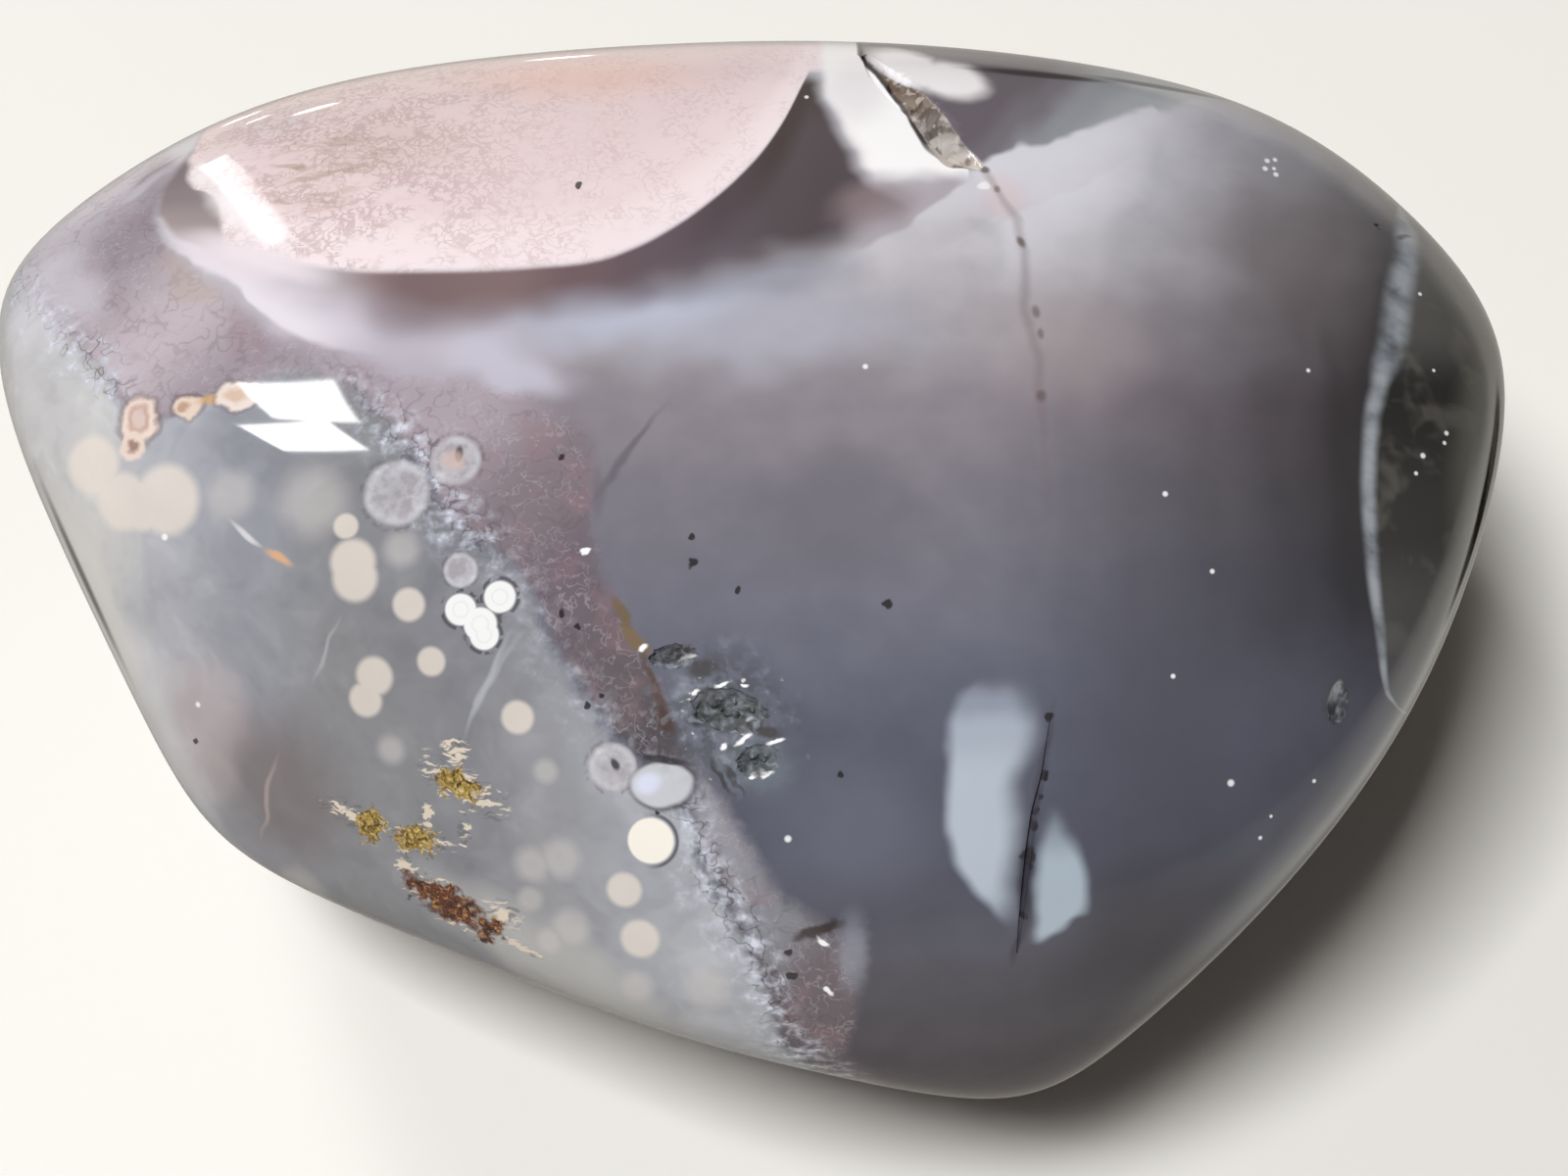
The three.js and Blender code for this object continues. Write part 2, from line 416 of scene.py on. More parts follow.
def wandering(vector, scale, reach, detail=1.0):
    """Places moved about by soft noise, by up to about half the reach."""
    noise = cloud(vector, scale, detail, output=1)
    moved = add("VectorMath", {0: noise, 1: (reach,) * 3, 2: vector}, operation="MULTIPLY_ADD")
    return step_by("SUBTRACT", moved, (reach / 2,) * 3)


def stretched(value, low=0.0, high=1.0, bottom=0.0, top=1.0):
    """Carries low to high over to bottom to top, straight on past both ends."""
    inputs = {"Value": value, "From Min": low, "From Max": high, "To Min": bottom, "To Max": top}
    return add("MapRange", inputs, clamp=False)


def tone_ramp(value, stops):
    """Tones by value: stops are (value, tone) from low to high."""
    low, high = stops[0][0], stops[-1][0]
    share = stretched(value, low, high)
    ramp = tree.nodes.new("ShaderNodeValToRGB")
    ramp.color_ramp.interpolation = "EASE"
    elements = ramp.color_ramp.elements
    elements[0].position, elements[0].color = 0, tone(*stops[0][1])
    elements[1].position, elements[1].color = 1, tone(*stops[-1][1])
    for at, colour_there in stops[1:-1]:
        elements.new((at - low) / (high - low)).color = tone(*colour_there)
    plug(ramp.inputs[0], share)
    return ramp.outputs[0]


def drawn_line(value, points):
    """A smooth line through (value, height) points, read at a value."""
    points = sorted(points)
    low, high = points[0][0], points[-1][0]
    bottom = min(height for _, height in points)
    top = max(height for _, height in points)
    share = stretched(value, low, high)
    curve = tree.nodes.new("ShaderNodeFloatCurve")
    curve.mapping.extend = "HORIZONTAL"
    line = curve.mapping.curves[0]
    places = [((a - low) / (high - low), (h - bottom) / (top - bottom)) for a, h in points]
    line.points[0].location = places[0]
    line.points[1].location = places[-1]
    for at in places[1:-1]:
        line.points.new(*at)
    for point in line.points:
        point.handle_type = "AUTO_CLAMPED"
    curve.mapping.update()
    plug(curve.inputs["Value"], share)
    return stretched(curve.outputs[0], bottom=bottom, top=top)


def right_of(x, y=583):
    return seen(x, y).x


def up_of(y, x=768):
    return seen(x, y).y


def between(value, start, full, thin, end, most=1.0):
    """Rises from start to full and falls again from thin to end."""
    return count("MULTIPLY", fade(value, start, full, most), fade(value, end, thin))


turn_to_show_side = Euler((SHOW_SIDE_RISE - math.pi / 2, 0, 0))
place = add("Mapping", {
    "Vector": tree.nodes.new("ShaderNodeTexCoord").outputs["Object"],
    "Location": -(turn_to_show_side.to_matrix() @ HEART),
    "Rotation": turn_to_show_side,
    "Scale": (1 / MM,) * 3,
})


def split(vector):
    return [add("SeparateXYZ", {0: vector}, axis) for axis in range(3)]


# Edges in the stone are read at places that wander: gently, raggedly, or in slow drifts.
gentle = wandering(place, 0.9, 0.4)
ragged = wandering(place, 2.2, 0.4, 2.0)
drifting = wandering(place, 0.45, 1.6)
right, up, out = split(place)
gentle_right, gentle_up, gentle_out = split(gentle)
ragged_right, ragged_up, _ = split(ragged)
drifting_right, drifting_up, _ = split(drifting)
soft_cloud = cloud(place, 0.9, 3.0)
fine_grain = cloud(ragged, 3.6, 1.0)
threads = cloud(ragged, 1.9, 1.0)


def level_line(pixels, across=gentle_right):
    """How far up a line lies at each right, for a line that runs from left to right."""
    return drawn_line(across, [seen(*pixel)[:2] for pixel in pixels])


def upright_line(pixels):
    """How far right a line lies at each up, for a line that runs up and down."""
    points = [(seen(*pixel).y, seen(*pixel).x) for pixel in pixels]
    return drawn_line(gentle_up, points)


def size_at(x, y, pixels):
    return pixels * MM_PER_PIXEL * (1 - seen(x, y).z / EYE_DISTANCE)


def in_oval(where, x, y, radii, turn, softness=0.25, most=1.0):
    """Inside an oval of these two radii, turned to the left by degrees: 0 to most."""
    edge = 1 + softness
    inputs = {
        "Vector": where,
        "Location": seen(x, y),
        "Rotation": (0, 0, math.radians(turn)),
        "Scale": (size_at(x, y, radii[0] * edge), size_at(x, y, radii[1] * edge), OVAL_DEPTH * edge),
    }
    from_middle = add("Mapping", inputs, vector_type="TEXTURE")
    inwards = add("TexGradient", {"Vector": from_middle}, 1, gradient_type="SPHERICAL")
    return fade(inwards, 0.0, 2 * softness / edge, most)


def ovals(below, where, shapes):
    """Ovals laid over a tone: x, y, radii, turn, tone, how much of it at most, softness."""
    for x, y, radii, turn, colour_there, most, softness in shapes:
        cover = in_oval(where, x, y, radii, turn, softness, most)
        below = over(below, tone(*colour_there), cover)
    return below


OVAL_DEPTH = 4.0  # mm that an oval reaches in and out of the skin
BALL_FLATNESS = 0.35  # balls are drawn out in depth, so they stay round on the skin


def in_radii(where, balls):
    """How far a place lies from the nearest of these balls, in that ball's own radii."""
    nearest = None
    for x, y, radius in balls:
        centre = seen(x, y) * Vector((1, 1, BALL_FLATNESS))
        away = count("DIVIDE", step_by("DISTANCE", where, centre, 1), size_at(x, y, radius))
        nearest = away if nearest is None else count("MINIMUM", nearest, away)
    return nearest


# The grey field. It is pale below the open crack and darkens downwards. To the right of the fine
# crack it turns warmer and much darker, in faint upright bands.
field = tone_ramp(drifting_up, [
    (up_of(1080), (84, 78, 84)),
    (up_of(1000), (92, 90, 99)),
    (up_of(950), (96, 97, 110)),
    (up_of(850), (96, 99, 114)),
    (up_of(760), (99, 102, 117)),
    (up_of(700), (105, 107, 122)),
    (up_of(600), (111, 111, 123)),
    (up_of(520), (120, 117, 126)),
    (up_of(420), (136, 129, 137)),
    (up_of(330), (161, 156, 162)),
    (up_of(250), (192, 189, 195)),
    (up_of(180), (206, 204, 211)),
])
pale_corner = count("MAXIMUM", count("SUBTRACT", drifting_up, up_of(420)), 0.0)
rightwards = count("SUBTRACT", drifting_right, count("MULTIPLY", pale_corner, 0.42))
to_the_right = tone_ramp(rightwards, [
    (right_of(1000), (255, 255, 255)),
    (right_of(1060), (240, 240, 241)),
    (right_of(1100), (222, 222, 224)),
    (right_of(1160), (204, 203, 205)),
    (right_of(1250), (176, 175, 176)),
    (right_of(1320), (148, 146, 146)),
    (right_of(1385), (115, 113, 112)),
])
low_right = fade(drifting_up, up_of(600), up_of(760), 0.7)
to_the_right = over(to_the_right, tone(218, 216, 217), low_right)
colour = over(field, to_the_right, 1.0, "MULTIPLY")
colour = over(colour, tone_ramp(soft_cloud, [
    (0.3, (160, 160, 164)),
    (0.7, (215, 213, 215)),
]), 0.14, "OVERLAY")
colour = ovals(colour, drifting, [
    (760, 330, (150, 45), 0, (176, 178, 194), 0.6, 0.6),
    (1090, 350, (70, 60), 0, (166, 152, 152), 0.35, 0.7),
    (1318, 258, (72, 84), 0, (96, 88, 88), 0.55, 0.7),
    (1185, 745, (62, 140), 0, (76, 76, 86), 0.5, 0.7),
    (850, 525, (80, 60), 0, (100, 98, 107), 0.45, 0.7),
    (870, 850, (70, 60), 0, (114, 116, 131), 0.45, 0.7),
    (1500, 385, (40, 70), 0, (70, 68, 64), 0.5, 0.6),
    (1170, 950, (90, 60), 40, (58, 56, 61), 0.72, 0.7),
])
# Painted reflection: a lighter band along the low right rim stands for the bright worktop that the rim
# mirrors.
above_low_rim = count("SUBTRACT", up, level_line([
    (1494, 610), (1470, 655), (1430, 738), (1380, 810), (1314, 882), (1212, 1000), (1150, 1052),
    (1095, 1092), (1020, 1108), (950, 1110),
], right))
colour = over(colour, tone(150, 149, 143), all_of(
    fade(above_low_rim, 1.4, 0.1, 0.6), fade(right, right_of(1030), right_of(1360)),
    fade(out, 9.0, 6.0),
))

# The clear part. Its grey is seen through to some depth, and is lighter at the left rim and at
# the bottom right. The mauve mossy band bounds it.
along_band = count("MULTIPLY", count("SUBTRACT", right, up), math.sqrt(0.5))
across_band = count("MULTIPLY", count("ADD", ragged_right, ragged_up), math.sqrt(0.5))


def band_line(pixels):
    """How far across the slanting band a line lies at each place along it."""
    points = []
    for pixel in pixels:
        x, y, _ = seen(*pixel)
        points.append(((x - y) * math.sqrt(0.5), (x + y) * math.sqrt(0.5)))
    return drawn_line(along_band, points)


band_top = band_line([
    (150, 130), (172, 170), (160, 215), (172, 250), (210, 290), (260, 325), (330, 350),
    (400, 378), (540, 405), (590, 440), (602, 490), (604, 560), (640, 640), (670, 700),
    (690, 750), (715, 790), (760, 860), (800, 920), (845, 950), (868, 1000), (862, 1080),
])
band_foot = band_line([
    (10, 262), (60, 330), (100, 370), (130, 410), (240, 392), (370, 400), (420, 450),
    (460, 520), (520, 570), (560, 640), (600, 710), (640, 760), (690, 810), (720, 880),
    (760, 950), (790, 1020), (800, 1060),
])
below_band = count("SUBTRACT", band_foot, across_band)
above_band = count("SUBTRACT", across_band, band_top)
clear_grey = tone_ramp(drifting_right, [
    (right_of(60), (188, 187, 189)),
    (right_of(110), (193, 192, 192)),
    (right_of(160), (170, 171, 178)),
    (right_of(250), (144, 146, 154)),
    (right_of(350), (131, 132, 136)),
    (right_of(480), (126, 127, 133)),
    (right_of(560), (145, 146, 151)),
    (right_of(650), (160, 162, 168)),
    (right_of(740), (172, 174, 180)),
])
clear_cloud = cloud(drifting, 0.8, 2.0, 0.6)
clear_grey = over(clear_grey, tone_ramp(clear_cloud, [
    (0.3, (150, 150, 156)),
    (0.5, (186, 186, 188)),
    (0.7, (218, 217, 217)),
]), 0.3, "OVERLAY")
clear_grey = ovals(clear_grey, drifting, [
    (285, 800, (70, 80), 0, (108, 98, 98), 0.75, 0.6),
    (570, 985, (150, 30), -30, (186, 184, 182), 0.7, 0.6),
    (148, 715, (40, 120), 20, (212, 210, 212), 0.6, 0.6),
    (90, 600, (30, 90), 20, (214, 211, 207), 0.7, 0.6),
])
colour = over(colour, clear_grey, fade(below_band, -0.1, 0.5))

# The mauve mossy band. Fine dark and light threads, as thin as a hair, run all through it, and
# bluish white lace with dark hairline cracks edges it in places.
mauve = tone_ramp(along_band, [
    (-22.0, (206, 201, 211)),
    (-19.5, (142, 130, 140)),
    (-16.3, (188, 176, 183)),
    (-13.8, (152, 140, 149)),
    (-8.5, (168, 156, 165)),
    (-5.5, (126, 115, 122)),
    (-3.0, (108, 97, 105)),
    (-0.5, (98, 91, 96)),
    (1.8, (74, 69, 72)),
    (4.0, (148, 146, 154)),
    (7.0, (135, 136, 144)),
    (9.0, (106, 97, 103)),
    (12.0, (104, 95, 101)),
])
dark_threads = fade(off(threads, 0.5), 0.06, 0.0, 0.26)
pale_threads = fade(off(fine_grain, 0.56), 0.05, 0.0, 0.3)
mauve = over(mauve, tone(88, 70, 80), all_of(dark_threads, fade(soft_cloud, 0.35, 0.6)))
mauve = over(mauve, tone(196, 184, 194), all_of(pale_threads, fade(soft_cloud, 0.62, 0.42)))
mauve = over(mauve, tone(150, 118, 124), fade(clear_cloud, 0.5, 0.7, 0.3))
in_band = all_of(fade(below_band, 0.15, -0.2), fade(above_band, 0.4, -0.3))
colour = over(colour, mauve, in_band)
lace_amount = drawn_line(along_band, [
    (-24.0, 1.0), (-16.5, 0.9), (-14.5, 0.2), (-11.0, 0.5), (-8.0, 0.9), (-5.5, 0.8),
    (-4.0, 0.25), (1.0, 0.3), (3.5, 1.0), (11.0, 1.0), (13.0, 0.3),
])
lace_blots = cloud(gentle, 2.4, 2.0, 0.6)
lace = all_of(lace_amount, between(below_band, -0.9, -0.1, 0.3, 1.5))
colour = over(colour, tone(196, 199, 212), all_of(lace, fade(lace_blots, 0.4, 0.66, 0.8)))
colour = over(colour, tone(226, 228, 238), all_of(lace, fade(lace_blots, 0.6, 0.72, 0.7)))
colour = over(colour, tone(62, 56, 64), all_of(
    lace_amount, between(below_band, -0.8, -0.3, 0.2, 0.8),
    fade(off(threads, 0.54), 0.028, 0.004, 0.6),
))

# The bluish white haze between the mossy band and the dark crescent, and the dark wedge that
# closes it at the left.
colour = ovals(colour, drifting, [
    (60, 300, (46, 44), 0, (216, 212, 222), 0.55, 0.6),
    (700, 302, (60, 16), 10, (178, 180, 198), 0.6, 0.6),
    (186, 288, (40, 15), -40, (176, 156, 148), 0.45, 0.6),
    (300, 308, (80, 34), -30, (206, 197, 207), 0.85, 0.5),
    (420, 345, (130, 34), -10, (190, 183, 196), 0.8, 0.55),
    (520, 378, (64, 20), -20, (198, 195, 210), 0.75, 0.6),
    (640, 316, (120, 34), 10, (184, 186, 204), 0.85, 0.55),
    (790, 282, (80, 26), 10, (148, 149, 162), 0.85, 0.6),
])
above_haze = count("SUBTRACT", gentle_up, level_line([
    (118, 206), (150, 226), (173, 250), (205, 273), (243, 292), (256, 309), (275, 328), (325, 350),
    (380, 362),
]))
colour = over(colour, tone(230, 223, 232), all_of(
    fade(above_haze, -0.12, 0.12, 0.9),
    fade(above_haze, 1.5, 0.3),
    between(right, right_of(125), right_of(195), right_of(280), right_of(390)),
))
colour = ovals(colour, gentle, [
    (230, 258, (60, 20), -30, (226, 214, 221), 0.85, 0.5),
    (168, 180, (28, 26), 0, (150, 139, 150), 0.7, 0.6),
    (146, 192, (32, 4), 40, (192, 187, 200), 0.6, 0.6),
    (158, 176, (26, 3), 40, (112, 100, 108), 0.5, 0.6),
])

# The pink eye and its dark crescent. The eye is a pale pink lens at the top, full of hair-thin
# brown squiggles; the crescent under it ends in a flame at its right tip.
eye_foot = level_line([
    (180, 222), (206, 238), (240, 254), (280, 265), (330, 273), (400, 277), (480, 276),
    (550, 272), (605, 266), (645, 253), (682, 234), (720, 208), (760, 173), (790, 137), (826, 72),
], right)
in_eye_up = count("SUBTRACT", up, eye_foot)
eye_left = upright_line([
    (203, 142), (197, 152), (190, 172), (192, 188), (216, 202), (224, 216), (226, 240), (232, 256),
])
behind_eye = count("SUBTRACT", gentle_out, drawn_line(gentle_right, [
    (right_of(190), -4.3), (right_of(270), -6.2), (right_of(400), -7.8), (right_of(540), -8.4),
    (right_of(680), -7.6), (right_of(780), -5.8), (right_of(840), -4.3),
]))
wedge_left = upright_line([
    (198, 149), (188, 160), (174, 178), (163, 195), (158, 210), (166, 228), (184, 244), (206, 256),
])
wedge_tone = tone_ramp(up, [
    (up_of(250, 200), (168, 152, 152)),
    (up_of(225, 195), (146, 130, 131)),
    (up_of(200, 180), (120, 104, 108)),
    (up_of(165, 190), (98, 82, 86)),
])
colour = over(colour, wedge_tone, all_of(
    fade(count("SUBTRACT", right, wedge_left), -0.12, 0.3, 0.92),
    fade(count("SUBTRACT", right, eye_left), 0.4, -0.1),
    fade(up, up_of(264, 200), up_of(224, 200)),
))
flame_side = upright_line([(834, 72), (843, 100), (857, 130), (868, 150), (880, 176), (930, 213)])
crescent_foot = level_line([
    (300, 280), (345, 298), (400, 319), (480, 325), (560, 317), (640, 301), (700, 282),
    (760, 266), (820, 252), (870, 238), (900, 221), (940, 204),
])
crescent = all_of(
    fade(in_eye_up, 0.08, -0.1),
    fade(count("SUBTRACT", drifting_up, crescent_foot), -0.9, 0.7),
    fade(count("SUBTRACT", flame_side, gentle_right), -0.3, 0.4),
    fade(up, up_of(66, 815), up_of(88, 815)),
    fade(right, right_of(285), right_of(370)),
    fade(out, -8.0, -5.0),
)
crescent = any_of(crescent, all_of(
    fade(behind_eye, 0.3, -0.3), fade(behind_eye, -3.4, -0.6, 0.9), fade(in_eye_up, -1.5, 1.0),
    between(right, right_of(150), right_of(260), right_of(780), right_of(880)),
))
crescent_tone = tone_ramp(right, [
    (right_of(330), (146, 126, 129)),
    (right_of(400), (116, 95, 98)),
    (right_of(500), (124, 102, 104)),
    (right_of(580), (106, 86, 92)),
    (right_of(660), (95, 80, 88)),
    (right_of(740), (76, 64, 70)),
    (right_of(800), (62, 49, 49)),
    (right_of(850), (56, 42, 40)),
])
# Painted sheen: a cool grey veil laid over the crescent where it lies further below the eye.
crescent_tone = over(crescent_tone, tone(112, 104, 116), fade(in_eye_up, -0.5, -2.2, 0.28))
colour = over(colour, crescent_tone, crescent)
pink = tone_ramp(in_eye_up, [
    (0.0, (242, 227, 231)),
    (0.8, (241, 225, 228)),
    (2.0, (233, 213, 215)),
    (4.0, (227, 206, 207)),
    (6.0, (227, 206, 205)),
])
pink = ovals(pink, gentle, [
    (300, 195, (55, 28), -20, (196, 168, 160), 0.2, 0.6),
    (390, 150, (90, 34), 0, (202, 175, 169), 0.35, 0.6),
    (285, 122, (60, 14), 20, (196, 186, 188), 0.48, 0.6),
    (590, 78, (110, 24), 0, (238, 198, 186), 0.6, 0.7),
    (470, 190, (80, 30), 0, (212, 190, 190), 0.2, 0.7),
])
slanting = add("Mapping", {"Vector": gentle, "Rotation": (0, 0, math.radians(-42)), "Scale": (0.8, 3.4, 1)})
streaks = cloud(slanting, 1.0, 2.0)
pink = over(pink, tone(172, 148, 130), all_of(
    fade(streaks, 0.48, 0.68, 0.6), in_oval(gentle, 322, 174, (72, 46), 20, 0.6),
))
squiggles = fade(off(threads, 0.5), 0.07, 0.0)
small_squiggles = fade(off(fine_grain, 0.5), 0.08, 0.0)
pink = over(pink, tone(158, 124, 120), all_of(
    any_of(squiggles, small_squiggles),
    fade(right, right_of(680), right_of(330), 0.42),
    fade(clear_cloud, 0.36, 0.54),
))
pink = over(pink, tone(176, 142, 140), all_of(
    small_squiggles, fade(right, right_of(400), right_of(600), 0.22), fade(soft_cloud, 0.4, 0.55),
))
in_eye = all_of(
    fade(in_eye_up, -0.14, 0.16),
    fade(count("SUBTRACT", gentle_right, eye_left), -0.1, 0.22),
    fade(behind_eye, -0.3, 0.3),
)
colour = over(colour, pink, in_eye)
# The first two of these ovals are painted highlight: white glare at the eye's left end, over the eye's own
# pale pink.
colour = ovals(colour, gentle, [
    (204, 177, (13, 9), -50, (246, 242, 244), 0.75, 0.5),
    (244, 214, (56, 17), -40, (246, 240, 243), 0.8, 0.6),
    (266, 262, (64, 13), -20, (234, 223, 229), 0.85, 0.7),
])

# The quartz at the top: two white patches part the crescent from a dark grey triangle. Below it
# the pale stone lies in slanting steps to both sides of the crack's end.
crack_left = upright_line([
    (877, 57), (893, 74), (905, 89), (921, 108), (934, 132), (946, 152), (962, 166), (988, 173),
])
crack_right = upright_line([
    (881, 57), (900, 74), (935, 92), (957, 112), (974, 134), (987, 152), (1000, 166), (1005, 173),
])
past_left = count("SUBTRACT", right, crack_left)
past_right = count("SUBTRACT", right, crack_right)


def step_line(pixels):
    """How far up a place lies from the edge of a step."""
    return count("SUBTRACT", gentle_up, level_line(pixels))


first_step = step_line([
    (1003, 168), (1030, 154), (1044, 148), (1058, 151), (1080, 142), (1110, 130), (1150, 117),
    (1176, 109), (1182, 114), (1212, 105), (1250, 96),
])
second_step = step_line([(1000, 240), (1030, 222), (1046, 212), (1110, 185), (1165, 155), (1200, 138)])
left_step = step_line([(880, 254), (930, 228), (962, 204), (1003, 178), (1012, 174)])
low_left_step = step_line([(930, 272), (965, 252), (1000, 232), (1030, 214), (1042, 208)])
triangle_tone = tone_ramp(count("ADD", right, count("MULTIPLY", first_step, -1.4)), [
    (right_of(950), (98, 90, 98)),
    (right_of(1010), (112, 107, 114)),
    (right_of(1090), (143, 145, 152)),
    (right_of(1180), (160, 163, 168)),
    (right_of(1240), (172, 174, 178)),
])
behind_rim = fade(count("SUBTRACT", gentle_out, drawn_line(drifting_right, [
    (right_of(850), -3.0), (right_of(960), -4.4), (right_of(1080), -5.4), (right_of(1200), -4.6),
    (right_of(1290), -2.0),
])), -0.9, 0.5)
pale_step = tone(214, 214, 221)
colour = over(colour, pale_step, all_of(
    fade(first_step, 0.14, -0.16),
    fade(first_step, -2.1, -0.3, 0.75),
    between(drifting_right, right_of(990), right_of(1030), right_of(1150), right_of(1290)),
))
colour = over(colour, pale_step, all_of(
    fade(second_step, 0.1, -0.16),
    fade(second_step, -2.2, -0.2, 0.55),
    between(right, right_of(1030), right_of(1048), right_of(1120), right_of(1210)),
))
colour = over(colour, tone(164, 156, 163), all_of(
    fade(left_step, -0.1, 0.14, 0.8),
    fade(left_step, 2.0, 0.4),
    between(right, right_of(855), right_of(900), right_of(985), right_of(1010)),
))
colour = over(colour, tone(186, 180, 188), all_of(
    fade(low_left_step, -0.06, 0.1, 0.5),
    fade(low_left_step, 1.1, 0.2),
    between(right, right_of(925), right_of(975), right_of(1025), right_of(1042)),
))
colour = over(colour, triangle_tone, all_of(
    fade(first_step, -0.1, 0.16),
    fade(past_right, -0.05, 0.06),
    behind_rim,
))
colour = ovals(colour, gentle, [
    (893, 206, (42, 24), 20, (136, 120, 124), 0.75, 0.6),
    (1001, 230, (16, 9), -30, (172, 170, 178), 0.5, 0.6),
    (1024, 200, (20, 22), 0, (214, 194, 198), 0.6, 0.6),
    (1003, 191, (7, 4), 20, (240, 238, 240), 0.9, 0.4),
    (1006, 175, (6, 4), -30, (74, 62, 56), 0.8, 0.5),
    (1018, 193, (4, 4), 0, (132, 104, 88), 0.7, 0.5),
])
first_quartz = all_of(
    fade(count("SUBTRACT", gentle_right, flame_side), -0.05, 0.35),
    fade(past_left, 0.05, -0.03),
    fade(gentle_up, up_of(188, 920), up_of(168, 920)),
    behind_rim,
)
# The quartz is white, and its near-white tone is also painted highlight where the patch glares.
quartz_white_and_glare = ovals(tone(250, 248, 249), gentle, [
    (864, 156, (16, 30), 20, (226, 214, 211), 0.5, 0.7),
    (872, 95, (30, 34), 0, (226, 220, 223), 0.6, 0.7),
])
colour = over(colour, quartz_white_and_glare, first_quartz)
second_quartz = any_of(
    in_oval(gentle, 930, 70, (48, 21), -30, 0.35),
    in_oval(gentle, 970, 82, (37, 23), -10, 0.35),
)
colour = over(colour, tone(243, 238, 240), all_of(second_quartz, fade(past_right, -0.04, 0.06)))

# The fine crack that runs down the middle of the stone, and a short one beside the mossy band.
fine_crack = upright_line([
    (1005, 174), (1030, 215), (1042, 240), (1045, 300), (1055, 350), (1062, 395), (1066, 450),
    (1072, 640),
])
colour = over(colour, tone(104, 86, 84), all_of(
    fade(off(gentle_right, fine_crack), 0.26, 0.0),
    fade(up, up_of(640, 1060), up_of(240, 1040), 0.34),
    fade(up, up_of(168, 1005), up_of(180, 1005)),
    fade(out, 0.0, 3.0),
))
colour = ovals(colour, gentle, [
    (642, 462, (52, 4), 55, (92, 86, 94), 0.6, 0.6),
    (612, 505, (6, 24), 0, (104, 98, 106), 0.5, 0.6),
    (1042, 247, (4, 5), 0, (82, 64, 60), 0.75, 0.6),
    (1058, 318, (4, 6), 0, (92, 76, 74), 0.6, 0.6),
    (1063, 342, (3.5, 5), 0, (96, 80, 78), 0.6, 0.6),
    (1065, 405, (5, 6), 0, (86, 70, 70), 0.6, 0.6),
])

# Two milky white spots stand at the bottom, with the narrow crack between them.
big_left = upright_line([
    (990, 692), (968, 715), (964, 740), (960, 800), (961, 850), (970, 885), (990, 910),
    (1014, 938), (1036, 962),
])
big_right = upright_line([
    (1045, 692), (1061, 712), (1066, 745), (1060, 775), (1049, 805), (1049, 850), (1042, 900),
    (1040, 962),
])
big_milky = all_of(
    fade(count("SUBTRACT", gentle_right, big_left), -0.05, 0.4),
    fade(count("SUBTRACT", big_right, gentle_right), -0.1, 0.9),
    fade(gentle_up, up_of(966, 1020), up_of(925, 1020)),
    fade(gentle_up, up_of(688, 1010), up_of(704, 1010)),
    fade(out, 0.0, 3.0),
)
milky_tone = tone_ramp(gentle_up, [
    (up_of(955, 1010), (140, 149, 165)),
    (up_of(900, 1010), (183, 193, 206)),
    (up_of(800, 1010), (180, 189, 201)),
    (up_of(745, 1010), (166, 174, 188)),
    (up_of(715, 1010), (142, 149, 163)),
    (up_of(695, 1010), (118, 122, 134)),
])
colour = over(colour, milky_tone, big_milky)
small_left = upright_line([(1072, 800), (1064, 840), (1056, 880), (1052, 920), (1050, 966)])
small_right = upright_line([
    (1074, 800), (1086, 825), (1100, 860), (1116, 900), (1116, 920), (1096, 942), (1058, 966),
])
small_milky = all_of(
    fade(count("SUBTRACT", gentle_right, small_left), -0.1, 0.35),
    fade(count("SUBTRACT", small_right, gentle_right), -0.08, 0.45),
    fade(gentle_up, up_of(966, 1075), up_of(948, 1075)),
    fade(gentle_up, up_of(810, 1075), up_of(885, 1075)),
    fade(out, 0.0, 3.0),
)
colour = over(colour, tone(172, 185, 198), small_milky)

# The vein down the right. It is a thin blue-grey sheet, with near-black stone beyond it and a
# dark streak beside it.
vein_line = upright_line([
    (1418, 205), (1430, 215), (1436, 245), (1428, 300), (1421, 350), (1406, 400), (1398, 450),
    (1397, 520), (1400, 570), (1408, 640), (1415, 700), (1421, 735),
])
vein_breadth = drawn_line(up, [
    (up_of(740, 1400), 0.03), (up_of(640, 1400), 0.12), (up_of(520, 1400), 0.17),
    (up_of(400, 1400), 0.21), (up_of(350, 1400), 0.34), (up_of(245, 1400), 0.32),
    (up_of(205, 1400), 0.05),
])
off_vein = count("SUBTRACT", right, vein_line)
dark_tone = tone_ramp(up, [
    (up_of(720, 1430), (90, 90, 90)),
    (up_of(620, 1430), (70, 69, 69)),
    (up_of(540, 1430), (50, 48, 47)),
    (up_of(400, 1430), (42, 40, 39)),
    (up_of(330, 1430), (84, 82, 80)),
    (up_of(240, 1430), (106, 104, 102)),
])
dark_tone = over(dark_tone, tone(104, 101, 96), fade(clear_cloud, 0.5, 0.7, 0.4))
dark_tone = over(dark_tone, tone(102, 100, 93), fade(off_vein, 2.0, 3.5, 0.8))
colour = ovals(colour, gentle, [(1367, 480, (12, 130), 0, (48, 46, 47), 0.45, 0.7)])
colour = over(colour, dark_tone, all_of(
    fade(off_vein, -0.1, 0.1),
    between(up, up_of(735, 1430), up_of(620, 1430), up_of(300, 1430), up_of(215, 1430)),
))
vein_share = count("DIVIDE", count("ABSOLUTE", off_vein), vein_breadth)
vein_tone = tone_ramp(soft_cloud, [(0.35, (118, 123, 130)), (0.65, (154, 159, 165))])
colour = over(colour, tone(48, 46, 48), all_of(
    between(off_vein, -0.95, -0.4, -0.35, -0.1, 0.4), between(
        up, up_of(640, 1390), up_of(560, 1390), up_of(300, 1410), up_of(230, 1410),
    ),
))
colour = over(colour, vein_tone, all_of(
    fade(vein_share, 1.9, 0.2), fade(out, 1.0, 3.0), fade(soft_cloud, 0.2, 0.45),
))
